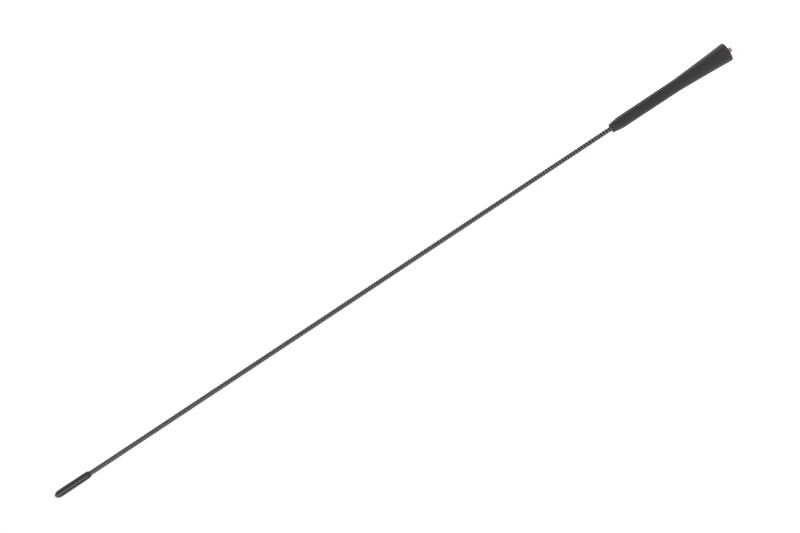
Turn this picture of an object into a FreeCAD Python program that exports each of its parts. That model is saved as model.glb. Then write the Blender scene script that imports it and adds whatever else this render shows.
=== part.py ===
# Vehicle roof aerial mast: a spiral-ribbed whip in a moulded grip with an M5 stud.
# Millimetres. Origin at the centre of the grip's rim plane, +Z along the whip to its tip,
# so the screw end points to -Z.
import FreeCAD
import Part
import Sketcher
import math
import os
import re

V = FreeCAD.Vector

# Straight runs that stand for one turn of a spiral
RIB_SIDES = 8
WIRE_SIDES = 6

# Sewing tolerance of the spiral faces
SEW = 1e-5

# Driving dimensions: alias, value, what it measures
SIZES = [
    ("mast_length", 550.0, "rim plane to tip"),
    ("grip_length", 95.4, "rim plane to the front of the nose"),
    ("rim_dia", 13.66, "widest place of the skirt, above its edge chamfer"),
    ("rim_edge", 0.5, "chamfer of the rim's outer edge"),
    ("rim_lip", 0.25, "chamfer of the rim's inner edge"),
    ("recess_dia", 11.0, "recess that covers the base's collar"),
    ("recess_depth", 5.0, "rim plane to the recess floor"),
    ("flare_angle", 3.48, "mean slope of the skirt, in degrees"),
    ("flare_hollow", 0.8, "how far the skirt's slope turns to the rim, in degrees"),
    ("flare_blend_radius", 90.0, "barrel into skirt"),
    ("barrel_dia", 8.75, "parallel barrel between skirt and nose"),
    ("nose_length", 7.7, "length of the nose cone"),
    ("nose_face_dia", 6.4, "front face, before its edge chamfer"),
    ("nose_blend_radius", 8.0, "barrel into nose cone"),
    ("nose_edge", 0.25, "chamfer of the front face's edge"),
    ("mouth_lead", 0.45, "lead-in chamfer round the whip"),
    ("thread_dia", 5.0, "M5 major diameter"),
    ("thread_reach", 0.85, "thread that stands out past the rim plane"),
    ("thread_chamfer", 0.6, "start chamfer of the thread"),
    ("dog_dia", 3.5, "dog point below the thread"),
    ("dog_length", 2.5, "length of the dog point"),
    ("dog_chamfer", 0.5, "end chamfer of the dog point"),
    ("neck_dia", 3.9, "run-out neck between thread and flange"),
    ("neck_length", 0.8, "length of the run-out neck"),
    ("flange_dia", 9.0, "flange flush with the recess floor"),
    ("flange_thick", 1.5, "thickness of the flange"),
    ("hex_flats", 6.5, "hexagon that the grip can't turn on, across flats"),
    ("hex_length", 17.5, "length of the hexagon"),
    ("key_groove_dia", 5.4, "bottom of the holding grooves"),
    ("key_groove_width", 2.4, "width of a holding groove"),
    ("ferrule_dia", 5.2, "sleeve glued on the core rod"),
    ("ferrule_length", 38.0, "length of that sleeve"),
    ("core_dia", 1.7, "glass fibre core rod"),
    ("glue_gap", 0.03, "film round the core rod, on the radius"),
    ("rod_end_gap", 0.2, "core rod clear of the bottom of its bore"),
    ("wire_thick", 0.18, "winding wire, across"),
    ("wire_pitch", 12.0, "spacing of the winding's turns"),
    ("wire_gap", 0.01, "winding clear of the core and of the sleeve"),
    ("wire_short", 3.0, "winding stops short of the sleeve's upper end"),
    ("solder_dia", 3.1, "solder ring at the ferrule"),
    ("solder_height", 1.4, "height of the solder ring"),
    ("rod_dia", 3.24, "whip over its ribs"),
    ("rib_height", 0.19, "rib above the bottom of its groove"),
    ("rib_pitch", 2.13, "spacing of the spiral rib's turns"),
    ("jacket_bore_dia", 2.4, "bore of the ribbed sleeve"),
    ("grip_seat_depth", 9.5, "sleeve inside the grip's nose"),
    ("jacket_fit_gap", 0.05, "ribs clear of the grip's and the cap's bores"),
    ("cap_length", 28.6, "tip cap, mouth to tip"),
    ("cap_dia", 5.1, "tip cap"),
    ("mouth_face_dia", 3.74, "mouth face of the cap"),
    ("mouth_round_radius", 4.1, "rounded shoulder at the cap's mouth"),
    ("mouth_round_length", 2.2, "length of that shoulder"),
    ("dome_side_radius", 4.6, "cap's side into its dome"),
    ("dome_end_radius", 1.9, "rounded end of the dome"),
    ("cap_seat_depth", 9.0, "sleeve inside the cap"),
    ("cap_end_wall", 4.5, "tip to the end of the cap's bore"),
    ("vent_dia", 0.8, "vent hole in the cap's side"),
    ("vent_from_tip", 6.5, "tip to the vent hole"),
    ("vent_clear", 1.0, "core rod ends this far below the vent hole"),
]

# Direction of the vent hole round the whip, in degrees from +X
VENT_TURN = 222.0

doc = FreeCAD.newDocument("AerialMast")


def make_sheet():
    """Spreadsheet with one row per driving dimension and the heights that follow from them."""
    sheet = doc.addObject("Spreadsheet::Sheet", "Dims")
    row = 0
    for alias, size, note in SIZES:
        row += 1
        sheet.set("A%d" % row, alias)
        sheet.set("B%d" % row, "%g" % size)
        sheet.setAlias("B%d" % row, alias)
        sheet.set("C%d" % row, note)
    follow = [
        ("nose_slope", "=atan((barrel_dia - nose_face_dia) / 2 / nose_length)"),
        ("blend_turn", "=flare_angle - flare_hollow / 2"),
        ("blend_dia", "=barrel_dia + 2 * flare_blend_radius * (1 - cos(blend_turn))"),
        ("flare_chord", "=(rim_dia - blend_dia) / 2 / sin(flare_angle)"),
        ("flare_sweep_radius", "=flare_chord / 2 / sin(flare_hollow / 2)"),
        ("blend_height", "=rim_edge + flare_chord * cos(flare_angle)"),
        ("flare_length", "=blend_height + flare_blend_radius * sin(blend_turn)"),
        ("stud_low", "=-thread_reach - dog_length"),
        ("hex_low", "=recess_depth + flange_thick"),
        ("key_low", "=hex_low + (hex_length - key_groove_width) / 2"),
        ("ferrule_low", "=hex_low + hex_length"),
        ("ferrule_top", "=ferrule_low + ferrule_length"),
        ("solder_top", "=ferrule_top + solder_height"),
        ("jacket_low", "=grip_length - grip_seat_depth"),
        ("cap_low", "=mast_length - cap_length"),
        ("jacket_top", "=cap_low + cap_seat_depth"),
        ("air_top", "=mast_length - cap_end_wall"),
        ("vent_height", "=mast_length - vent_from_tip"),
        ("core_top", "=vent_height - vent_dia / 2 - vent_clear"),
        ("dome_turn", "=acos((dome_side_radius - cap_dia / 2) / (dome_side_radius - dome_end_radius))"),
        ("dome_low",
         "=mast_length - dome_end_radius - (dome_side_radius - dome_end_radius) * sin(dome_turn)"),
        ("jacket_hole", "=rod_dia + 2 * jacket_fit_gap"),
        ("core_hole", "=core_dia + 2 * glue_gap"),
    ]
    for alias, formula in follow:
        row += 1
        sheet.set("A%d" % row, alias)
        sheet.set("B%d" % row, formula)
        sheet.setAlias("B%d" % row, alias)
    doc.recompute()
    return sheet


dims = make_sheet()


def size(alias):
    """Present value of one cell, in millimetres."""
    return float(getattr(dims, alias))


def value(formula):
    """Number that a formula on the sheet's aliases gives now."""
    result = dims.evalExpression(formula)
    return float(getattr(result, "Value", result))


def bound(formula):
    """The same formula as an object outside the sheet has to write it."""
    return re.sub(r"\b[a-z_]*_[a-z_]+\b", r"Dims.\g<0>", formula)


def bind(thing, prop, formula):
    thing.setExpression(prop, bound(formula))


def make_body(label):
    body = doc.addObject("PartDesign::Body", label)
    body.Label = label
    return body


def origin_plane(body, role):
    for feature in body.Origin.OriginFeatures:
        if feature.Role == role:
            return feature


def new_sketch(body, name, role):
    sketch = body.newObject("Sketcher::SketchObject", name)
    sketch.AttachmentSupport = [(origin_plane(body, role), "")]
    sketch.MapMode = "FlatFace"
    return sketch


def arc_between(start, end, radius):
    """Arc from start to end, its centre on the left of the way there when radius is positive."""
    chord = end - start
    half = chord.Length / 2
    rise = math.sqrt(radius * radius - half * half)
    left = V(-chord.y, chord.x, 0).normalize()
    centre = (start + end) * 0.5 + left * math.copysign(rise, radius)
    circle = Part.Circle(centre, V(0, 0, 1), abs(radius))
    first, last = (start, end) if radius > 0 else (end, start)
    return Part.ArcOfCircle(circle, circle.parameter(first), circle.parameter(last))


def profile(body, name, corners):
    """Closed outline in the XZ plane. A corner is (radius, height) as formulas, and a third
    formula is the radius of an arc to the next corner, negative where it turns the other way."""
    sketch = new_sketch(body, name, "XZ_Plane")
    points = [V(value(corner[0]), value(corner[1]), 0) for corner in corners]
    ends = []
    for i, corner in enumerate(corners):
        start, end = points[i], points[(i + 1) % len(points)]
        if len(corner) == 3:
            bend = value(corner[2])
            geo = sketch.addGeometry(arc_between(start, end, bend))
            ends.append((geo, 1, 2) if bend > 0 else (geo, 2, 1))
        else:
            ends.append((sketch.addGeometry(Part.LineSegment(start, end)), 1, 2))
    for i, (geo, first, last) in enumerate(ends):
        following, next_first, _ = ends[(i + 1) % len(ends)]
        sketch.addConstraint(Sketcher.Constraint("Coincident", geo, last, following, next_first))
    for i, (geo, first, last) in enumerate(ends):
        place_point(sketch, geo, first, points[i].x, corners[i][0], "DistanceX", -2)
        place_point(sketch, geo, first, points[i].y, corners[i][1], "DistanceY", -1)
        if len(corners[i]) == 3:
            index = sketch.addConstraint(Sketcher.Constraint("Radius", geo, abs(value(corners[i][2]))))
            bind(sketch, "Constraints[%d]" % index, "abs(%s)" % corners[i][2])
    return sketch


def place_point(sketch, geo, point, position, formula, kind, axis):
    """Dimension a point from the sketch's origin, or lay it on the axis that it is on."""
    if formula == "0":
        sketch.addConstraint(Sketcher.Constraint("PointOnObject", geo, point, axis))
        return
    index = sketch.addConstraint(Sketcher.Constraint(kind, -1, 1, geo, point, position))
    bind(sketch, "Constraints[%d]" % index, formula)


def turned(body, kind, name, sketch):
    """Revolution or Groove of a profile round the whip's axis."""
    feature = body.newObject("PartDesign::" + kind, name)
    feature.Profile = sketch
    feature.ReferenceAxis = (sketch, ["V_Axis"])
    feature.Angle = 360.0
    sketch.Visibility = False
    doc.recompute()
    return feature


def ring_edge(shape, radius, height):
    """Name of the circular edge of that radius at that height."""
    for i, edge in enumerate(shape.Edges):
        circle = edge.Curve
        if circle.TypeId != "Part::GeomCircle":
            continue
        if abs(circle.Radius - radius) < 1e-3 and abs(circle.Center.z - height) < 1e-3:
            return "Edge%d" % (i + 1)
    raise ValueError("no ring of radius %g at %g" % (radius, height))


def round_ring(body, name, ring_radius, ring_height, blend):
    """Fillet of one circular edge, each argument a formula."""
    base = body.Tip
    edge = ring_edge(base.Shape, value(ring_radius), value(ring_height))
    fillet = body.newObject("PartDesign::Fillet", name)
    fillet.Base = (base, [edge])
    fillet.Radius = value(blend)
    bind(fillet, "Radius", blend)
    doc.recompute()
    return fillet


def make_insert_blank():
    """Turned steel insert without its bore: stud, flange, hexagon and sleeve for the core rod."""
    body = make_body("InsertBlank")
    stud = profile(body, "StudOutline", [
        ("0", "stud_low"),
        ("dog_dia / 2 - dog_chamfer", "stud_low"),
        ("dog_dia / 2", "stud_low + dog_chamfer"),
        ("dog_dia / 2", "-thread_reach"),
        ("thread_dia / 2 - thread_chamfer", "-thread_reach"),
        ("thread_dia / 2", "-thread_reach + thread_chamfer"),
        ("thread_dia / 2", "recess_depth - neck_length"),
        ("neck_dia / 2", "recess_depth - neck_length"),
        ("neck_dia / 2", "recess_depth"),
        ("flange_dia / 2", "recess_depth"),
        ("flange_dia / 2", "hex_low"),
        ("0", "hex_low"),
    ])
    turned(body, "Revolution", "Stud", stud)

    corner = "hex_flats / 2 / cos(30)"
    hexagon = new_sketch(body, "HexOutline", "XY_Plane")
    bind(hexagon, "AttachmentOffset.Base.z", "hex_low")
    reach = value(corner)
    tips = [V(reach * math.cos(math.radians(60 * i)), reach * math.sin(math.radians(60 * i)), 0)
            for i in range(6)]
    for i in range(6):
        hexagon.addGeometry(Part.LineSegment(tips[i], tips[(i + 1) % 6]))
    round_corners = hexagon.addGeometry(Part.Circle(V(0, 0, 0), V(0, 0, 1), reach), True)
    for i in range(6):
        hexagon.addConstraint(Sketcher.Constraint("Coincident", i, 2, (i + 1) % 6, 1))
        hexagon.addConstraint(Sketcher.Constraint("PointOnObject", i, 1, round_corners))
        if i:
            hexagon.addConstraint(Sketcher.Constraint("Equal", 0, i))
    hexagon.addConstraint(Sketcher.Constraint("Coincident", round_corners, 3, -1, 1))
    hexagon.addConstraint(Sketcher.Constraint("PointOnObject", 0, 1, -1))
    index = hexagon.addConstraint(Sketcher.Constraint("Radius", round_corners, reach))
    bind(hexagon, "Constraints[%d]" % index, corner)
    pad = body.newObject("PartDesign::Pad", "Hexagon")
    pad.Profile = hexagon
    bind(pad, "Length", "hex_length")
    doc.recompute()

    sleeve = profile(body, "FerruleOutline", [
        ("0", "ferrule_low"),
        ("ferrule_dia / 2", "ferrule_low"),
        ("ferrule_dia / 2", "ferrule_top"),
        ("0", "ferrule_top"),
    ])
    turned(body, "Revolution", "Ferrule", sleeve)

    key = profile(body, "KeyOutline", [
        ("key_groove_dia / 2", "key_low"),
        ("flange_dia / 2", "key_low"),
        ("flange_dia / 2", "key_low + key_groove_width"),
        ("key_groove_dia / 2", "key_low + key_groove_width"),
    ])
    turned(body, "Groove", "KeyGroove", key)
    return body


def make_threaded_insert(blank):
    """The insert with the blind bore that holds the core rod."""
    bore = doc.addObject("Part::Cylinder", "RodBore")
    bind(bore, "Radius", "core_hole / 2")
    bind(bore, "Height", "ferrule_length")
    bind(bore, "Placement.Base.z", "ferrule_low")
    insert = doc.addObject("Part::Cut", "threaded_insert")
    insert.Base = blank
    insert.Tool = bore
    return insert


def make_grip(blank):
    """Rubber handle moulded round the insert: skirt, barrel and nose cone."""
    body = make_body("HandleForm")
    outline = profile(body, "HandleOutline", [
        ("0", "recess_depth"),
        ("recess_dia / 2", "recess_depth"),
        ("recess_dia / 2", "rim_lip"),
        ("recess_dia / 2 + rim_lip", "0"),
        ("rim_dia / 2 - rim_edge", "0"),
        ("rim_dia / 2", "rim_edge", "-flare_sweep_radius"),
        ("blend_dia / 2", "blend_height", "-flare_blend_radius"),
        ("barrel_dia / 2", "flare_length"),
        ("barrel_dia / 2", "grip_length - nose_length"),
        ("nose_face_dia / 2 + nose_edge * tan(nose_slope)", "grip_length - nose_edge"),
        ("nose_face_dia / 2 - nose_edge", "grip_length"),
        ("0", "grip_length"),
    ])
    turned(body, "Revolution", "Handle", outline)
    round_ring(body, "NoseBlend", "barrel_dia / 2", "grip_length - nose_length", "nose_blend_radius")

    mouth = profile(body, "MouthOutline", [
        ("0", "ferrule_top"),
        ("solder_dia / 2", "ferrule_top"),
        ("solder_dia / 2", "solder_top"),
        ("jacket_bore_dia / 2", "solder_top"),
        ("jacket_bore_dia / 2", "jacket_low"),
        ("jacket_hole / 2", "jacket_low"),
        ("jacket_hole / 2", "grip_length - mouth_lead"),
        ("jacket_hole / 2 + mouth_lead", "grip_length"),
        ("0", "grip_length"),
    ])
    turned(body, "Groove", "Mouth", mouth)

    grip = doc.addObject("Part::Cut", "grip")
    grip.Base = body
    grip.Tool = blank
    return grip


def make_core_rod():
    rod = doc.addObject("Part::Cylinder", "core_rod")
    bind(rod, "Radius", "core_dia / 2")
    bind(rod, "Height", "core_top - ferrule_low - rod_end_gap")
    bind(rod, "Placement.Base.z", "ferrule_low + rod_end_gap")
    return rod


def make_solder_joint():
    """Ring of solder on top of the ferrule, round the core rod."""
    bead = doc.addObject("Part::Cylinder", "SolderBead")
    bind(bead, "Radius", "solder_dia / 2")
    bind(bead, "Height", "solder_height")
    bind(bead, "Placement.Base.z", "ferrule_top")
    hole = doc.addObject("Part::Cylinder", "SolderHole")
    bind(hole, "Radius", "core_hole / 2")
    bind(hole, "Height", "solder_height")
    bind(hole, "Placement.Base.z", "ferrule_top")
    ring = doc.addObject("Part::Cut", "solder_joint")
    ring.Base = bead
    ring.Tool = hole
    return ring


def spiral(radius, pitch, sides, start, steps):
    """Corner points of a right-handed spiral, one for each straight run and one more."""
    turn = 2 * math.pi / sides
    return [V(radius * math.cos(turn * i), radius * math.sin(turn * i), start + pitch * i / sides)
            for i in range(steps + 1)]


def strip(first, second):
    """Faces between two spirals that have the same number of corners."""
    return [Part.makeRuledSurface(Part.makeLine(first[i], first[i + 1]),
                                  Part.makeLine(second[i], second[i + 1]))
            for i in range(len(first) - 1)]


def flat(points):
    return Part.Face(Part.makePolygon(points + points[:1]))


def sewn(faces):
    """Solid from faces that meet edge to edge."""
    skin = Part.Compound(faces)
    skin.sewShape(SEW)
    solid = Part.Solid(skin.Shells[0])
    if solid.Volume < 0:
        solid.reverse()
    return solid


def make_winding():
    """Copper wire wound on the core rod, from the solder ring to near the sleeve's top.
    Its flats are as far out as the rod's surface, so its corners stand a little further."""
    inner = (size("core_dia") / 2 + size("wire_gap")) / math.cos(math.pi / WIRE_SIDES)
    outer = inner + size("wire_thick")
    pitch = size("wire_pitch")
    slope = math.atan(pitch / (2 * math.pi * inner))
    rise = size("wire_thick") / math.cos(slope)
    low = size("solder_top") + size("wire_gap")
    high = size("jacket_top") - size("wire_short") - rise
    steps = int((high - low) / pitch * WIRE_SIDES)
    corners = [spiral(inner, pitch, WIRE_SIDES, low, steps),
               spiral(outer, pitch, WIRE_SIDES, low, steps),
               spiral(outer, pitch, WIRE_SIDES, low + rise, steps),
               spiral(inner, pitch, WIRE_SIDES, low + rise, steps)]
    faces = []
    for i in range(4):
        faces += strip(corners[i], corners[(i + 1) % 4])
    faces.append(flat([line[0] for line in corners]))
    faces.append(flat([line[-1] for line in corners]))
    winding = doc.addObject("Part::Feature", "winding")
    winding.Shape = sewn(faces)
    return winding


def make_jacket():
    """Sleeve with a spiral rib: a ribbed bar, taken over the sleeve's length and bore."""
    crest = size("rod_dia") / 2
    valley = crest - size("rib_height")
    pitch = size("rib_pitch")
    low = size("jacket_low")
    length = size("jacket_top") - low
    turns = int(length / pitch) + 3
    steps = turns * RIB_SIDES
    start = low - pitch
    ridge = spiral(crest, pitch, RIB_SIDES, start, steps)
    below = spiral(valley, pitch, RIB_SIDES, start - pitch / 2, steps)
    above = spiral(valley, pitch, RIB_SIDES, start + pitch / 2, steps)
    faces = strip(below, ridge) + strip(ridge, above)
    faces += fan([ridge[0]] + below[:RIB_SIDES + 1], V(0, 0, start - pitch))
    faces += fan([ridge[-1]] + above[-RIB_SIDES - 1:][::-1], V(0, 0, start + pitch * (turns + 1)))
    bar = sewn(faces)
    room = Part.makeCylinder(size("rod_dia"), length, V(0, 0, low))
    bore = Part.makeCylinder(size("jacket_bore_dia") / 2, length, V(0, 0, low))
    ribbed = bar.common(room.cut(bore))
    jacket = doc.addObject("Part::Feature", "jacket")
    jacket.Shape = ribbed.Solids[0]
    return jacket


def fan(rim, tip):
    """Triangles from a closed rim to one point, which close an end of the ribbed bar."""
    return [flat([rim[i], rim[(i + 1) % len(rim)], tip]) for i in range(len(rim))]


def make_tip_cap():
    """Moulded cap with a domed end, a stepped blind bore and a vent hole."""
    body = make_body("tip_cap")
    outline = profile(body, "CapOutline", [
        ("0", "cap_low"),
        ("mouth_face_dia / 2", "cap_low", "mouth_round_radius"),
        ("cap_dia / 2", "cap_low + mouth_round_length"),
        ("cap_dia / 2", "dome_low", "dome_side_radius"),
        ("dome_end_radius * cos(dome_turn)", "mast_length - dome_end_radius * (1 - sin(dome_turn))",
         "dome_end_radius"),
        ("0", "mast_length"),
    ])
    turned(body, "Revolution", "CapWall", outline)

    bore = profile(body, "CapBore", [
        ("0", "cap_low"),
        ("jacket_hole / 2", "cap_low"),
        ("jacket_hole / 2", "jacket_top"),
        ("core_hole / 2", "jacket_top"),
        ("core_hole / 2", "air_top"),
        ("0", "air_top"),
    ])
    turned(body, "Groove", "Bore", bore)

    vent = body.newObject("PartDesign::SubtractiveCylinder", "Vent")
    bind(vent, "Radius", "vent_dia / 2")
    bind(vent, "Height", "cap_dia")
    across = V(math.cos(math.radians(VENT_TURN)), math.sin(math.radians(VENT_TURN)), 0)
    vent.Placement = FreeCAD.Placement(V(0, 0, 0), FreeCAD.Rotation(V(0, 0, 1), across))
    bind(vent, "Placement.Base.z", "vent_height")
    doc.recompute()
    return body


def write_parts(nodes):
    """Check every object and every sub-part, then write one STEP file for each."""
    doc.recompute()
    for thing in doc.Objects:
        faults = [state for state in thing.State if state in ("Invalid", "Error")]
        if faults:
            raise RuntimeError("%s is %s" % (thing.Label, faults[0]))
    for node in nodes:
        shape = node.Shape
        if shape.isNull() or not shape.isValid():
            raise RuntimeError("%s has no valid shape" % node.Label)
        if len(shape.Solids) != 1:
            raise RuntimeError("%s has %d solids" % (node.Label, len(shape.Solids)))
    os.makedirs("parts", exist_ok=True)
    for node in nodes:
        node.Shape.exportStep("parts/%s.step" % node.Label)
        box = node.Shape.optimalBoundingBox(True, False)
        print("%s: %.1f mm3, %.2f x %.2f mm, z %.2f to %.2f" % (
            node.Label, node.Shape.Volume, box.XLength, box.YLength, box.ZMin, box.ZMax))


insert_blank = make_insert_blank()
write_parts([
    make_grip(insert_blank),
    make_threaded_insert(insert_blank),
    make_solder_joint(),
    make_core_rod(),
    make_winding(),
    make_jacket(),
    make_tip_cap(),
])
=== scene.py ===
"""Vehicle roof aerial mast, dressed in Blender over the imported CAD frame.

The mast stands along +Z with its threaded stud at the bottom. Every size below is in
millimetres and is turned into metres where a mesh or a node takes it.
"""
import math

import bmesh
import bpy
from mathutils import Matrix, Vector


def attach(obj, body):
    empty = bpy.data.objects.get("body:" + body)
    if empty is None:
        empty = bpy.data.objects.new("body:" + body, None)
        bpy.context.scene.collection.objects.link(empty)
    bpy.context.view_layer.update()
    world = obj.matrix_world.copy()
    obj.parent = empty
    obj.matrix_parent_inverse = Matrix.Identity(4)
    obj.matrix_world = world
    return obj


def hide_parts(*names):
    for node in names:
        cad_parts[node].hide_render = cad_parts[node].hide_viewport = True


MM = 0.001

# Heights that the pieces share, the same as in the part's source
RECESS_DEPTH = 5.0
HEX_LOW = 6.5
KEY_LOW = 14.05
KEY_HIGH = 16.45
FERRULE_LOW = 24.0
FERRULE_TOP = 62.0
SOLDER_TOP = 63.4
SLEEVE_LOW = 85.9
GRIP_TOP = 95.4
CAP_LOW = 521.4
SLEEVE_TOP = 530.4
VENT_HEIGHT = 543.5
AIR_TOP = 545.5

# Radii where two pieces meet
SLEEVE_HOLE = 1.72
ROD_HOLE = 0.88
SLEEVE_BORE = 1.2
SOLDER_RADIUS = 1.55
FERRULE_RADIUS = 2.6
FLANGE_RADIUS = 4.5
KEY_RADIUS = 2.7
HEX_APOTHEM = 3.25

# Points nearer the axis than this are on it
ON_AXIS = 1e-6

# Edges that bend by more degrees than this stay sharp, on most pieces and on the spiral ones
SHARP_ANGLE = 32
SPIRAL_SHARP_ANGLE = 50


# Small helpers


def linear(hex_colour):
    """Turns an sRGB hex colour into the linear values that a shader takes."""
    channels = [int(hex_colour[i : i + 2], 16) / 255 for i in (1, 3, 5)]
    return [c / 12.92 if c <= 0.04045 else ((c + 0.055) / 1.055) ** 2.4 for c in channels] + [1.0]


def add(tree, kind, inputs=None, **settings):
    """Adds one node with its settings, and fills its inputs with values or other nodes' outputs."""
    node = tree.nodes.new(kind)
    for name, value in settings.items():
        setattr(node, name, value)
    for socket, source in (inputs or {}).items():
        if isinstance(source, bpy.types.NodeSocket):
            tree.links.new(source, node.inputs[socket])
        else:
            node.inputs[socket].default_value = source
    return node


def new_material(name):
    """A node material with an empty tree, and that tree."""
    material = bpy.data.materials.new(name)
    material.use_nodes = True
    material.node_tree.nodes.clear()
    return material, material.node_tree


def per_mm(size):
    """Noise scale whose spots are about that many millimetres wide, on Object coordinates."""
    return 1 / (size * MM)


def rounded(corners, steps=6):
    """Outline with some of its corners rounded. A corner is (height, radius) and may have a third
    number, the radius of its rounding."""
    points = []
    for i, corner in enumerate(corners):
        here = Vector(corner[:2])
        if len(corner) < 3:
            points.append(here)
            continue
        before = (Vector(corners[i - 1][:2]) - here).normalized()
        after = (Vector(corners[(i + 1) % len(corners)][:2]) - here).normalized()
        half = before.angle(after) / 2
        centre = here + (before + after).normalized() * corner[2] / math.sin(half)
        start = here + before * corner[2] / math.tan(half) - centre
        end = here + after * corner[2] / math.tan(half) - centre
        turn = start.angle_signed(end)
        points += [centre + Matrix.Rotation(-turn * k / steps, 2) @ start for k in range(steps + 1)]
    return points


def smooth_curve(knots, spacing):
    """Points of a smooth curve through the knots, a Catmull-Rom spline, about that far apart."""
    knots = [Vector(k) for k in knots]
    ends = [knots[0] * 2 - knots[1]] + knots + [knots[-1] * 2 - knots[-2]]
    points = []
    for a, b, c, d in zip(ends, ends[1:], ends[2:], ends[3:]):
        count = max(1, round((c - b).length / spacing))
        slope = c - a
        bend = 2 * a - 5 * b + 4 * c - d
        twist = 3 * b - a - 3 * c + d
        for k in range(count):
            t = k / count
            points.append(0.5 * (2 * b + slope * t + bend * t**2 + twist * t**3))
    return points + [knots[-1]]


def lathe(name, outline, sides):
    """Solid turned round the Z axis from a closed outline of (height, radius) points. A point with
    a third item is on a hexagon whose flats are that radius from the axis."""
    mesh = bmesh.new()
    rings = []
    for point in outline:
        height, radius = point[0], point[1]
        if radius < ON_AXIS:
            rings.append([mesh.verts.new((0, 0, height * MM))] * sides)
            continue
        ring = []
        for k in range(sides):
            turn = 2 * math.pi * k / sides
            reach = radius
            if len(point) > 2:
                reach = radius / math.cos((turn % (math.pi / 3)) - math.pi / 6)
            corner = (reach * math.cos(turn) * MM, reach * math.sin(turn) * MM, height * MM)
            ring.append(mesh.verts.new(corner))
        rings.append(ring)
    for lower, upper in zip(rings, rings[1:] + rings[:1]):
        for k in range(sides):
            corners = [lower[k], lower[(k + 1) % sides], upper[(k + 1) % sides], upper[k]]
            corners = [v for i, v in enumerate(corners) if v not in corners[:i]]
            if len(corners) > 2:
                mesh.faces.new(corners)
    bmesh.ops.recalc_face_normals(mesh, faces=mesh.faces)
    return finished_mesh(name, mesh)


def finished_mesh(name, mesh):
    """Object at the origin from a bmesh, smooth but for its sharp edges."""
    data = bpy.data.meshes.new(name)
    mesh.to_mesh(data)
    mesh.free()
    piece = bpy.data.objects.new(name, data)
    bpy.context.scene.collection.objects.link(piece)
    shade(piece)
    return piece


def shade(piece, sharp_angle=SHARP_ANGLE):
    """Smooth shading that keeps the edges sharp that bend by more than that many degrees."""
    piece.data.shade_smooth()
    piece.data.set_sharp_from_angle(angle=math.radians(sharp_angle))


def applied(piece):
    """Puts the piece's modifiers into its mesh and takes them off."""
    graph = bpy.context.evaluated_depsgraph_get()
    result = bpy.data.meshes.new_from_object(piece.evaluated_get(graph))
    piece.modifiers.clear()
    piece.data = result


def dress(piece, material, node):
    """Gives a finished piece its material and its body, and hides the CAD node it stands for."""
    piece.data.materials.clear()
    piece.data.materials.append(material)
    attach(piece, "root")
    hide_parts(node)


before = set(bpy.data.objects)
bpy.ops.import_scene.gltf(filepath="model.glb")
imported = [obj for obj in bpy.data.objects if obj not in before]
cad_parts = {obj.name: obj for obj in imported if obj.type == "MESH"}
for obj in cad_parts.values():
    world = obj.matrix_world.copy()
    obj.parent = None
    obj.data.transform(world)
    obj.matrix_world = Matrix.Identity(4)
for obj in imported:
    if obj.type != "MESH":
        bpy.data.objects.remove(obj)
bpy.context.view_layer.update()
scene = bpy.context.scene
scene.view_settings.view_transform = "Standard"


# Camera: square to the mast, rolled so that the tip points to the lower left

CAMERA_DISTANCE = 1100
SENSOR_WIDTH = 36
MM_PER_PIXEL = 0.6823
FRAME_WIDTH = 800
VIEW_CENTRE = Vector((1.04, 0, 267.24))

# How far the mast goes to the left and down in the picture, as shares of its length
TIP_LEFT = 0.83378
TIP_DOWN = 0.55208

camera_data = bpy.data.cameras.new("camera")
camera = bpy.data.objects.new("camera", camera_data)
scene.collection.objects.link(camera)
scene.camera = camera
camera_data.sensor_width = SENSOR_WIDTH
camera_data.lens = SENSOR_WIDTH * CAMERA_DISTANCE / (FRAME_WIDTH * MM_PER_PIXEL)
camera_right = Vector((-TIP_DOWN, 0, -TIP_LEFT)).normalized()
camera_up = Vector((TIP_LEFT, 0, -TIP_DOWN)).normalized()
camera_back = Vector((0, -1, 0))
camera_turn = Matrix((camera_right, camera_up, camera_back)).transposed().to_4x4()
camera_place = (VIEW_CENTRE + camera_back * CAMERA_DISTANCE) * MM
camera.matrix_world = Matrix.Translation(camera_place) @ camera_turn


# Stage: a pale floor below the mast, white all round and soft lamps

FLOOR_HEIGHT = -120
FLOOR_HALF = 4000
FLOOR_LIFT = 0.86
WORLD_FILL = 0.28


def seen_directly(tree):
    """Output that is 1 for camera, glossy and transmission rays, and 0 for the light on things."""
    path = add(tree, "ShaderNodeLightPath").outputs
    seen = {0: path["Is Camera Ray"], 1: path["Is Glossy Ray"]}
    seen = add(tree, "ShaderNodeMath", seen, operation="MAXIMUM").outputs[0]
    seen = {0: seen, 1: path["Is Transmission Ray"]}
    return add(tree, "ShaderNodeMath", seen, operation="MAXIMUM").outputs[0]


floor_data = bpy.data.meshes.new("floor")
floor_corners = [
    (x * FLOOR_HALF * MM, y * FLOOR_HALF * MM, FLOOR_HEIGHT * MM)
    for x, y in ((-1, -1), (1, -1), (1, 1), (-1, 1))
]
floor_data.from_pydata(floor_corners, [], [(0, 1, 2, 3)])
floor = bpy.data.objects.new("floor", floor_data)
scene.collection.objects.link(floor)

# Matt white floor paint. What it lacks to white is added for the rays that see it directly, so
# that its shadow still shows.
floor_paint, tree = new_material("matt_white_floor_paint")
strength = add(tree, "ShaderNodeMath", {0: seen_directly(tree), 1: FLOOR_LIFT}, operation="MULTIPLY")
paint = add(tree, "ShaderNodeBsdfDiffuse", {"Color": linear("#E4E4E4")})
lift = add(tree, "ShaderNodeEmission", {"Color": linear("#FFFFFF"), "Strength": strength.outputs[0]})
both = add(tree, "ShaderNodeAddShader", {0: paint.outputs[0], 1: lift.outputs[0]})
add(tree, "ShaderNodeOutputMaterial", {"Surface": both.outputs[0]})
floor_data.materials.append(floor_paint)

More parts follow.
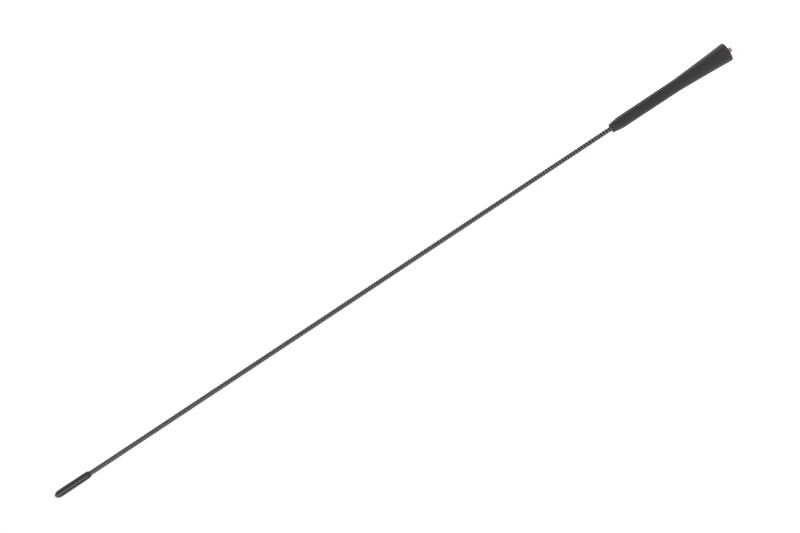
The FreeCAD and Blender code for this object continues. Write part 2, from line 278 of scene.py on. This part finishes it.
world = bpy.data.worlds.new("studio")
scene.world = world
world.use_nodes = True
tree = world.node_tree
tree.nodes.clear()
seen = seen_directly(tree)
fill = add(tree, "ShaderNodeBackground", {"Color": linear("#FFFFFF"), "Strength": WORLD_FILL})
white = add(tree, "ShaderNodeBackground", {"Color": linear("#FFFFFF"), "Strength": 1.0})
mixed = add(tree, "ShaderNodeMixShader", {0: seen, 1: fill.outputs[0], 2: white.outputs[0]})
add(tree, "ShaderNodeOutputWorld", {"Surface": mixed.outputs[0]})


def soft_box(name, place, width, radiance, target):
    """Square soft box at a place in millimetres, turned to a point. Its radiance is in whites."""
    data = bpy.data.lights.new(name, "AREA")
    data.shape = "SQUARE"
    data.size = width * MM
    data.energy = radiance * math.pi * data.size**2
    lamp = bpy.data.objects.new(name, data)
    scene.collection.objects.link(lamp)
    place = Vector(place) * MM
    aim = Vector(target) * MM - place
    lamp.matrix_world = Matrix.Translation(place) @ aim.to_track_quat("-Z", "Y").to_matrix().to_4x4()


soft_box("tip_box", (-290, -950, 780), width=160, radiance=60.0, target=(0, 0, 300))
soft_box("along_box", (-400, -500, 1500), width=300, radiance=42.0, target=(0, 0, 150))
soft_box("high_edge_box", (850, 310, 20), width=360, radiance=6.0, target=(0, 0, 60))
soft_box("low_edge_box", (-880, 160, 170), width=220, radiance=12.0, target=(0, 0, 95))


# Materials

# Rubbed places: their colour, the width of their spots, and the most of that colour that shows
RUBBED_EDGE = "#5A534F"
RUB_SPOT = 2.0
RUB_MOST = 0.5

# Distances from the middle of the moulding seam to the end of its top and to the end of its foot
SEAM_TOP = 0.06
SEAM_FOOT = 0.2


def grained(name, dark, light, roughness, specular, grain, grain_depth, mottle, sheen=0.0, seam=0.0, worn=()):
    """Plastic, rubber or resin: two close colours in soft spots, and a fine grain. It may have the
    raised seam of its two mould halves, that high, along the plane of X and Z. Worn heights, as
    (fully worn at, not worn from), turn it paler."""
    material, tree = new_material(name)
    place = add(tree, "ShaderNodeTexCoord").outputs["Object"]
    spots = {"Vector": place, "Scale": per_mm(mottle), "Detail": 3.0}
    spots = add(tree, "ShaderNodeTexNoise", spots).outputs["Fac"]
    colour = {"Factor": spots, 6: linear(dark), 7: linear(light)}
    colour = add(tree, "ShaderNodeMix", colour, data_type="RGBA").outputs[2]
    axes = add(tree, "ShaderNodeSeparateXYZ", {0: place}).outputs
    if worn:
        rubs = {"Vector": place, "Scale": per_mm(RUB_SPOT), "Detail": 4.0}
        rubs = add(tree, "ShaderNodeTexNoise", rubs).outputs["Fac"]
        edge = {"Value": axes[2], "From Min": worn[0] * MM, "From Max": worn[1] * MM}
        edge |= {"To Min": RUB_MOST, "To Max": 0.0}
        edge = add(tree, "ShaderNodeMapRange", edge, interpolation_type="SMOOTHSTEP").outputs[0]
        paler_share = add(tree, "ShaderNodeMath", {0: edge, 1: rubs}, operation="MULTIPLY").outputs[0]
        colour = {"Factor": paler_share, 6: colour, 7: linear(RUBBED_EDGE)}
        colour = add(tree, "ShaderNodeMix", colour, data_type="RGBA").outputs[2]
    pits = {"Vector": place, "Scale": per_mm(grain), "Detail": 2.0}
    pits = add(tree, "ShaderNodeTexNoise", pits).outputs["Fac"]
    surface = {0: pits, 1: grain_depth * MM}
    surface = add(tree, "ShaderNodeMath", surface, operation="MULTIPLY").outputs[0]
    if seam:
        off_plane = add(tree, "ShaderNodeMath", {0: axes[1]}, operation="ABSOLUTE").outputs[0]
        ridge = {"Value": off_plane, "From Min": SEAM_TOP * MM, "From Max": SEAM_FOOT * MM}
        ridge |= {"To Min": seam * MM, "To Max": 0.0}
        ridge = add(tree, "ShaderNodeMapRange", ridge, interpolation_type="SMOOTHSTEP").outputs[0]
        surface = add(tree, "ShaderNodeMath", {0: surface, 1: ridge}, operation="ADD").outputs[0]
    bump = add(tree, "ShaderNodeBump", {"Strength": 1.0, "Distance": 1.0, "Height": surface})
    shader = add(
        tree,
        "ShaderNodeBsdfPrincipled",
        {
            "Base Color": colour,
            "Roughness": roughness,
            "Specular IOR Level": specular,
            "Sheen Weight": sheen,
            "Sheen Roughness": 0.4,
            "Normal": bump.outputs["Normal"],
        },
    )
    add(tree, "ShaderNodeOutputMaterial", {"Surface": shader.outputs[0]})
    return material


# EPDM rubber, moulded in a spark-eroded tool: soft and matt, with a fine grain, a seam down each
# side and paler skin where the rim rubs. The seam is 0.15 mm wide on such grips and is drawn wider.
grip_rubber = grained(
    "moulded_epdm_rubber",
    "#2B2A2A",
    "#343231",
    roughness=0.52,
    specular=0.22,
    grain=0.45,
    grain_depth=0.022,
    mottle=9.0,
    sheen=0.12,
    seam=0.05,
    worn=(0.4, 2.6),
)
# ABS cap, moulded and lightly polished: satin, with a soft line of light along it
cap_plastic = grained(
    "moulded_satin_abs",
    "#181615",
    "#201E1D",
    roughness=0.44,
    specular=0.4,
    grain=0.7,
    grain_depth=0.0012,
    mottle=7.0,
    seam=0.02,
)


# Up to this height the painted highlight and shade on the sleeve get more even, by this share at most, and
# near this tone
EVEN_HEIGHT = 370
EVEN_SHARE = 0.9
EVEN_TONE = 0.42

# Width of the spots in the painted crest highlight, and how much of it is left in the barest of them
CREST_LIGHT_SPOT = 1.6
CREST_LIGHT_LEAST = 0.82

SLOT_ROUGHNESS = 0.6
CREST_ROUGHNESS = 0.26
SLEEVE_GRAIN = 0.5
SLEEVE_GRAIN_DEPTH = 0.006


def ribbed_sleeve(name, shaded_slot_colour, lit_crest_colour, slot_radius, crest_radius):
    """Black sleeve whose crests are smoother than the slots between them. Its crests carry painted highlight
    and its slots painted shade, most of all near the grip."""
    material, tree = new_material(name)
    place = add(tree, "ShaderNodeTexCoord").outputs["Object"]
    flat = add(tree, "ShaderNodeMapping", {"Vector": place, "Scale": (1, 1, 0)}).outputs[0]
    radius = add(tree, "ShaderNodeVectorMath", {0: flat}, operation="LENGTH").outputs["Value"]
    crests = {"Value": radius, "From Min": slot_radius * MM, "From Max": crest_radius * MM}
    crests = add(tree, "ShaderNodeMapRange", crests, interpolation_type="SMOOTHSTEP").outputs[0]
    spots = {"Vector": place, "Scale": per_mm(CREST_LIGHT_SPOT), "Detail": 3.0}
    spots = add(tree, "ShaderNodeTexNoise", spots).outputs["Fac"]
    paleness = {"Value": spots, "From Min": 0.3, "From Max": 0.7, "To Min": CREST_LIGHT_LEAST}
    paleness = add(tree, "ShaderNodeMapRange", paleness).outputs[0]
    height = add(tree, "ShaderNodeSeparateXYZ", {0: place}).outputs[2]
    upward = {"Value": height, "From Min": GRIP_TOP * MM, "From Max": EVEN_HEIGHT * MM}
    upward = add(tree, "ShaderNodeMapRange", upward).outputs[0]
    evened = add(tree, "ShaderNodeMath", {0: upward, 1: EVEN_SHARE}, operation="MULTIPLY").outputs[0]
    # Painted highlight on the crests and painted shade in the slots, strongest by the grip and evening out
    # towards the tip
    paler_share = {"Factor": evened, 2: crests, 3: EVEN_TONE}
    paler_share = add(tree, "ShaderNodeMix", paler_share, data_type="FLOAT").outputs[0]
    crest_highlight = add(tree, "ShaderNodeMath", {0: paler_share, 1: paleness}, operation="MULTIPLY").outputs[0]
    # The slot colour is painted shade and the crest colour is painted highlight
    colour = {"Factor": crest_highlight, 6: linear(shaded_slot_colour), 7: linear(lit_crest_colour)}
    colour = add(tree, "ShaderNodeMix", colour, data_type="RGBA").outputs[2]
    gloss = {"Value": crests, "To Min": SLOT_ROUGHNESS, "To Max": CREST_ROUGHNESS}
    gloss = add(tree, "ShaderNodeMapRange", gloss).outputs[0]
    grain = {"Vector": place, "Scale": per_mm(SLEEVE_GRAIN), "Detail": 2.0}
    grain = add(tree, "ShaderNodeTexNoise", grain).outputs["Fac"]
    bump = {"Strength": 1.0, "Distance": SLEEVE_GRAIN_DEPTH * MM, "Height": grain}
    bump = add(tree, "ShaderNodeBump", bump)
    shader = add(
        tree,
        "ShaderNodeBsdfPrincipled",
        {
            "Base Color": colour,
            "Roughness": gloss,
            "Specular IOR Level": 0.15,
            "Normal": bump.outputs["Normal"],
        },
    )
    add(tree, "ShaderNodeOutputMaterial", {"Surface": shader.outputs[0]})
    return material


# Polyolefin sleeve extruded over a wire spiral: satin, with painted highlight on its crests and painted shade
# in its slots
sleeve_plastic = ribbed_sleeve("extruded_polyolefin_sleeve", "#080605", "#7E7874", 1.46, 1.74)


# How many times longer than wide the marks of a tool are, and how far they change the roughness
MARK_STRETCH = 12
MARK_SMOOTHER = 0.06
MARK_ROUGHER = 0.08


def bare_metal(name, hex_colour, roughness, mark_width, mark_depth, mark_direction):
    """Metal with fine marks from its tool: rings round the axis for "z", lines along it for "r"."""
    material, tree = new_material(name)
    place = add(tree, "ShaderNodeTexCoord").outputs["Object"]
    stretch = {"z": (1, 1, MARK_STRETCH), "r": (MARK_STRETCH, MARK_STRETCH, 1)}[mark_direction]
    spread = add(tree, "ShaderNodeMapping", {"Vector": place, "Scale": stretch}).outputs[0]
    marks = {"Vector": spread, "Scale": per_mm(mark_width * MARK_STRETCH), "Detail": 2.0}
    marks = add(tree, "ShaderNodeTexNoise", marks).outputs["Fac"]
    gloss = {"Value": marks, "To Min": roughness - MARK_SMOOTHER, "To Max": roughness + MARK_ROUGHER}
    gloss = add(tree, "ShaderNodeMapRange", gloss).outputs[0]
    bump = {"Strength": 1.0, "Distance": mark_depth * MM, "Height": marks}
    bump = add(tree, "ShaderNodeBump", bump)
    shader = add(
        tree,
        "ShaderNodeBsdfPrincipled",
        {
            "Base Color": linear(hex_colour),
            "Metallic": 1.0,
            "Roughness": gloss,
            "Normal": bump.outputs["Normal"],
        },
    )
    add(tree, "ShaderNodeOutputMaterial", {"Surface": shader.outputs[0]})
    return material


# Free-cutting steel, turned and zinc plated: pale warm grey with rings from the tool
turned_steel = bare_metal(
    "zinc_plated_turned_steel",
    "#857B76",
    roughness=0.4,
    mark_width=0.25,
    mark_depth=0.006,
    mark_direction="z",
)
# Tin solder that cooled in the air: bright but cloudy
tin_solder = bare_metal(
    "tin_solder",
    "#C4C4C6",
    roughness=0.42,
    mark_width=0.4,
    mark_depth=0.01,
    mark_direction="z",
)
# Copper wire under clear enamel: reddish, quite glossy
copper_enamel = bare_metal(
    "enamelled_copper_wire",
    "#B4713F",
    roughness=0.3,
    mark_width=0.1,
    mark_depth=0.002,
    mark_direction="r",
)
# Pultruded glass fibre: pale greyish yellow in soft spots, with a fine grain
glass_rod = grained(
    "pultruded_glass_fibre",
    "#B9B39A",
    "#CDC8B2",
    roughness=0.5,
    specular=0.5,
    grain=0.3,
    grain_depth=0.01,
    mottle=3.0,
)


# Spiral skin: the sleeve's rib and the stud's thread follow the same rule

SKIN_LENGTHS = (
    "Low",
    "High",
    "Pitch",
    "Pitch Loss",
    "Valley",
    "Valley Rise",
    "Rib",
    "Rib Loss",
    "Fade",
    "Bore",
)
SKIN_SHAPES = ("Crown", "Fullness")
SKIN_COUNTS = ("Turns", "Sides", "Steps")

# Points of a skin nearer than this are one point
SKIN_MERGE = 0.004


def spiral_skin_tree():
    """Geometry Nodes tree for a tube whose outside is one spiral rib.

    A flat grid is wound up: its long side runs along the spiral and its short side is one pitch.
    The rib fades at both ends, where the surplus of the first and last turn folds flat."""
    tree = bpy.data.node_groups.new("spiral_skin", "GeometryNodeTree")
    face = tree.interface
    face.new_socket("Geometry", in_out="INPUT", socket_type="NodeSocketGeometry")
    for name in SKIN_LENGTHS + SKIN_SHAPES:
        face.new_socket(name, in_out="INPUT", socket_type="NodeSocketFloat")
    for name in SKIN_COUNTS:
        face.new_socket(name, in_out="INPUT", socket_type="NodeSocketInt")
    face.new_socket("Material", in_out="INPUT", socket_type="NodeSocketMaterial")
    face.new_socket("Geometry", in_out="OUTPUT", socket_type="NodeSocketGeometry")
    given = add(tree, "NodeGroupInput").outputs

    def maths(operation, *values, clamp=False):
        """Output of one maths node."""
        sockets = {i: value for i, value in enumerate(values)}
        return add(tree, "ShaderNodeMath", sockets, operation=operation, use_clamp=clamp).outputs[0]

    def wound(mesh, turn, radius, height):
        """Moves a grid's points to that turn (in whole turns), radius and height."""
        angle = maths("MULTIPLY", turn, 2 * math.pi)
        across = maths("MULTIPLY", radius, maths("COSINE", angle))
        along = maths("MULTIPLY", radius, maths("SINE", angle))
        point = add(tree, "ShaderNodeCombineXYZ", {0: across, 1: along, 2: height}).outputs[0]
        return add(tree, "GeometryNodeSetPosition", {"Geometry": mesh, "Position": point}).outputs[0]

    # A point's place on its grid: 0 to 1 across the pitch, and 0 to 1 along the spiral
    position = add(tree, "GeometryNodeInputPosition").outputs[0]
    spot = add(tree, "ShaderNodeSeparateXYZ", {0: position})
    across = maths("ADD", spot.outputs[0], 0.5)
    along = maths("ADD", spot.outputs[1], 0.5)

    # Outside: height grows along the spiral and across the pitch
    rows = maths("ADD", maths("MULTIPLY", given["Turns"], given["Sides"]), 1)
    columns = maths("ADD", given["Steps"], 1)
    outside = {"Size X": 1.0, "Size Y": 1.0, "Vertices X": columns, "Vertices Y": rows}
    outside = add(tree, "GeometryNodeMeshGrid", outside).outputs["Mesh"]
    turn = maths("MULTIPLY", along, given["Turns"])
    wound_up = maths("SUBTRACT", maths("ADD", turn, across), 1)
    local_pitch = maths("SUBTRACT", given["Pitch"], maths("MULTIPLY", wound_up, given["Pitch Loss"]))
    height = maths("ADD", given["Low"], maths("MULTIPLY", wound_up, local_pitch))

    # Rib: a crown that is full in the middle of the pitch and fades near both ends
    from_low = maths("DIVIDE", maths("SUBTRACT", height, given["Low"]), given["Fade"], clamp=True)
    from_high = maths("DIVIDE", maths("SUBTRACT", given["High"], height), given["Fade"], clamp=True)
    off_middle = maths("ABSOLUTE", maths("SUBTRACT", maths("MULTIPLY", across, 2), 1))
    crown = maths("SUBTRACT", 1, maths("POWER", off_middle, given["Crown"]), clamp=True)
    crown = maths("MULTIPLY", crown, given["Fullness"], clamp=True)
    rib = maths("SUBTRACT", given["Rib"], maths("MULTIPLY", along, given["Rib Loss"]))
    stand = maths("MULTIPLY", maths("MULTIPLY", crown, rib), maths("MULTIPLY", from_low, from_high))
    valley = maths("ADD", given["Valley"], maths("MULTIPLY", along, given["Valley Rise"]))
    radius = maths("ADD", valley, stand)
    kept = maths("MINIMUM", maths("MAXIMUM", height, given["Low"]), given["High"])
    skin = wound(outside, turn, radius, kept)
    skin = add(tree, "GeometryNodeFlipFaces", {0: skin}).outputs[0]

    # Inside: both end rings and the bore, as a strip of three bands. Its four points across lie at a
    # half and at a sixth on either side of its middle, and the inner two are on the bore.
    seams = maths("ADD", given["Sides"], 1)
    inside = {"Size X": 1.0, "Size Y": 1.0, "Vertices X": 4, "Vertices Y": seams}
    inside = add(tree, "GeometryNodeMeshGrid", inside).outputs["Mesh"]
    in_bore = maths("LESS_THAN", maths("ABSOLUTE", spot.outputs[0]), 0.25)
    at_top = maths("GREATER_THAN", spot.outputs[0], 0)
    valley = maths("ADD", given["Valley"], maths("MULTIPLY", at_top, given["Valley Rise"]))
    depth = maths("SUBTRACT", valley, given["Bore"])
    radius = maths("SUBTRACT", valley, maths("MULTIPLY", in_bore, depth))
    length = maths("SUBTRACT", given["High"], given["Low"])
    height = maths("ADD", given["Low"], maths("MULTIPLY", at_top, length))
    inner = wound(inside, along, radius, height)

    tube = add(tree, "GeometryNodeJoinGeometry")
    tree.links.new(skin, tube.inputs[0])
    tree.links.new(inner, tube.inputs[0])
    tube = {"Geometry": tube.outputs[0], "Distance": SKIN_MERGE * MM}
    tube = add(tree, "GeometryNodeMergeByDistance", tube).outputs[0]
    joined = add(tree, "GeometryNodeJoinGeometry")
    tree.links.new(given["Geometry"], joined.inputs[0])
    tree.links.new(tube, joined.inputs[0])
    whole = add(tree, "GeometryNodeRealizeInstances", {0: joined.outputs[0]}).outputs[0]
    whole = {"Geometry": whole, "Material": given["Material"]}
    whole = add(tree, "GeometryNodeSetMaterial", whole).outputs[0]
    add(tree, "NodeGroupOutput", {0: whole})
    return tree


spiral_skin = spiral_skin_tree()


def wind(piece, sizes):
    """Adds a spiral skin to a piece. Lengths in the sizes are in millimetres."""
    modifier = piece.modifiers.new("spiral_skin", "NODES")
    modifier.node_group = spiral_skin
    for socket in spiral_skin.interface.items_tree:
        if socket.in_out == "INPUT" and socket.name in sizes:
            value = sizes[socket.name]
            modifier[socket.identifier] = value * MM if socket.name in SKIN_LENGTHS else value
    applied(piece)
    shade(piece, SPIRAL_SHARP_ANGLE)


# Sleeve: one wide, rounded rib with a narrow slot between its turns. By the grip its turns are
# further apart and its slots deeper than by the cap.

FIRST_PITCH = 2.26
LAST_PITCH = 2.03

rib_turns = math.ceil((SLEEVE_TOP - SLEEVE_LOW) * 2 / (FIRST_PITCH + LAST_PITCH)) + 2
sleeve = bpy.data.objects.new("whip_sleeve", bpy.data.meshes.new("whip_sleeve"))
scene.collection.objects.link(sleeve)
wind(sleeve, {
    "Low": SLEEVE_LOW,
    "High": SLEEVE_TOP,
    "Pitch": FIRST_PITCH,
    "Pitch Loss": (FIRST_PITCH - LAST_PITCH) / rib_turns / 2,
    "Valley": 1.28,
    "Valley Rise": 0.18,
    "Rib": 0.43,
    "Rib Loss": 0.23,
    "Fade": 3.0,
    "Bore": SLEEVE_BORE,
    "Crown": 2.6,
    "Fullness": 1.0,
    "Turns": rib_turns,
    "Sides": 24,
    "Steps": 10,
    "Material": sleeve_plastic,
})
dress(sleeve, sleeve_plastic, "jacket")


# Insert: turned in one piece, with a dog point, an M5 x 0.8 thread, a flange and a hexagon. The
# thread starts a hair above the shoulder and its bore is inside the core, so no faces coincide.

DOG_LOW = -3.35
DOG_RADIUS = 1.75
SHOULDER = -0.85
THREAD_LOW = -0.84
THREAD_TOP = 4.2
CORE_RADIUS = 1.98
NECK_LOW = 4.4
NECK_RADIUS = 1.95
STUD_SIDES = 72

stud = rounded([
    (DOG_LOW, 0),
    (DOG_LOW, DOG_RADIUS, 0.8),
    (SHOULDER, DOG_RADIUS, 0.1),
    (SHOULDER, CORE_RADIUS),
    (THREAD_TOP, CORE_RADIUS),
    (NECK_LOW, NECK_RADIUS),
    (RECESS_DEPTH, NECK_RADIUS),
    (RECESS_DEPTH, FLANGE_RADIUS),
    (HEX_LOW, FLANGE_RADIUS),
])
insert = lathe("threaded_stud", stud + [
    (HEX_LOW, HEX_APOTHEM, 6),
    (KEY_LOW, HEX_APOTHEM, 6),
    (KEY_LOW, KEY_RADIUS),
    (KEY_HIGH, KEY_RADIUS),
    (KEY_HIGH, HEX_APOTHEM, 6),
    (FERRULE_LOW, HEX_APOTHEM, 6),
    (FERRULE_LOW, FERRULE_RADIUS),
    (FERRULE_TOP, FERRULE_RADIUS),
    (FERRULE_TOP, ROD_HOLE),
    (FERRULE_LOW, ROD_HOLE),
    (FERRULE_LOW, 0),
], STUD_SIDES)
wind(insert, {
    "Low": THREAD_LOW,
    "High": THREAD_TOP,
    "Pitch": 0.8,
    "Valley": 2.02,
    "Rib": 0.46,
    "Fade": 0.7,
    "Bore": 1.8,
    "Crown": 1.0,
    "Fullness": 1.15,
    "Turns": 8,
    "Sides": STUD_SIDES,
    "Steps": 8,
    "Material": turned_steel,
})
dress(insert, turned_steel, "threaded_insert")


# Grip: flared skirt, long handle and short nose cone

RECESS_RADIUS = 5.5
RIM_RADIUS = 6.83
SKIRT_LOW = 1.0
NOSE_LOW = 90.3
NOSE_LOW_RADIUS = 3.95
NOSE_TOP_RADIUS = 3.19

# Sides that the grip and the cap are turned with
TURNED_SIDES = 96

skirt = smooth_curve([
    (SKIRT_LOW, RIM_RADIUS), (2.25, 6.80), (3.6, 6.72), (6.35, 6.51), (9.1, 6.29), (14.5, 5.94),
    (20.0, 5.62), (25.5, 5.29), (30.9, 4.985), (36.4, 4.70), (39.1, 4.55), (41.8, 4.455),
    (44.6, 4.42), (52.7, 4.395), (63.7, 4.37), (74.6, 4.335), (86.9, 4.325), (87.5, 4.30),
    (88.2, 4.245), (88.9, 4.17), (NOSE_LOW, NOSE_LOW_RADIUS),
], spacing=1.0)
rim = rounded([
    (RECESS_DEPTH, FLANGE_RADIUS),
    (RECESS_DEPTH, RECESS_RADIUS, 0.3),
    (0, RECESS_RADIUS, 0.25),
    (0, RIM_RADIUS, 0.6),
    (SKIRT_LOW, RIM_RADIUS),
])[:-1]
nose = rounded([
    (NOSE_LOW, NOSE_LOW_RADIUS),
    (GRIP_TOP, NOSE_TOP_RADIUS, 0.45),
    (GRIP_TOP, SLEEVE_HOLE, 0.4),
    (SLEEVE_LOW, SLEEVE_HOLE),
])[1:]
grip = lathe("grip_handle", rim + skirt + nose + [
    (SLEEVE_LOW, SLEEVE_BORE),
    (SOLDER_TOP, SLEEVE_BORE),
    (SOLDER_TOP, SOLDER_RADIUS),
    (FERRULE_TOP, SOLDER_RADIUS),
    (FERRULE_TOP, FERRULE_RADIUS),
    (FERRULE_LOW, FERRULE_RADIUS),
    (FERRULE_LOW, HEX_APOTHEM, 6),
    (KEY_HIGH, HEX_APOTHEM, 6),
    (KEY_HIGH, KEY_RADIUS),
    (KEY_LOW, KEY_RADIUS),
    (KEY_LOW, HEX_APOTHEM, 6),
    (HEX_LOW, HEX_APOTHEM, 6),
    (HEX_LOW, FLANGE_RADIUS),
], TURNED_SIDES)
dress(grip, grip_rubber, "grip")


# Tip cap: bullet-shaped, with a small vent hole in its side

wall = smooth_curve([
    (CAP_LOW, 1.80), (521.75, 1.98), (522.2, 2.165), (522.8, 2.37), (523.5, 2.465), (525.6, 2.5),
    (529.7, 2.525), (533.8, 2.56), (541.0, 2.585), (544.5, 2.575), (546.0, 2.54), (547.0, 2.45),
    (547.75, 2.31), (548.4, 2.08), (548.95, 1.76), (549.38, 1.38), (549.7, 0.98), (549.9, 0.56),
], spacing=0.35)
cap = lathe("cap_shell", [(CAP_LOW, SLEEVE_HOLE)] + wall + [
    (549.97, 0.28),
    (549.99, 0),
    (AIR_TOP, 0),
    (AIR_TOP, ROD_HOLE),
    (SLEEVE_TOP, ROD_HOLE),
    (SLEEVE_TOP, SLEEVE_HOLE),
], TURNED_SIDES)

VENT_RADIUS = 0.4
VENT_TURN = math.radians(222)
DRILL_SIDES = 32

# Drill along the vent's axis, from the cap's air space through its skin, and a wider mouth, drawn
# wide enough to show. Each is (radius at its start, radius at its end, start, end).
DRILL_PARTS = ((VENT_RADIUS, VENT_RADIUS, 0.4, 3.5), (0.56, 0.8, 1.9, 2.75))

# Points of the drilled cap nearer than this are one point
CAP_MERGE = 0.002

drill_mesh = bmesh.new()
for radius_in, radius_out, start, end in DRILL_PARTS:
    cone = bmesh.ops.create_cone(
        drill_mesh,
        cap_ends=True,
        segments=DRILL_SIDES,
        radius1=radius_in * MM,
        radius2=radius_out * MM,
        depth=(end - start) * MM,
    )
    middle = Matrix.Translation((0, 0, (start + end) / 2 * MM))
    bmesh.ops.transform(drill_mesh, matrix=middle, verts=cone["verts"])
sideways = Matrix.Rotation(VENT_TURN, 4, "Z") @ Matrix.Rotation(math.pi / 2, 4, "Y")
to_vent = Matrix.Translation((0, 0, VENT_HEIGHT * MM)) @ sideways
bmesh.ops.transform(drill_mesh, matrix=to_vent, verts=drill_mesh.verts)
drill = finished_mesh("vent_drill", drill_mesh)
bore = cap.modifiers.new("vent", "BOOLEAN")
bore.object = drill
bore.operation = "DIFFERENCE"
bore.solver = "EXACT"
bore.use_self = True
applied(cap)

# The drilling leaves slivers round the vent, which are merged away
clean = bmesh.new()
clean.from_mesh(cap.data)
bmesh.ops.remove_doubles(clean, verts=clean.verts, dist=CAP_MERGE * MM)
bmesh.ops.dissolve_degenerate(clean, dist=CAP_MERGE * MM, edges=clean.edges)
clean.to_mesh(cap.data)
clean.free()
shade(cap)
bpy.data.objects.remove(drill)
dress(cap, cap_plastic, "tip_cap")


# Inner pieces keep their CAD shape and get their finishes

for node, material in (("core_rod", glass_rod), ("winding", copper_enamel), ("solder_joint", tin_solder)):
    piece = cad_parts[node]
    piece.data.materials.clear()
    piece.data.materials.append(material)
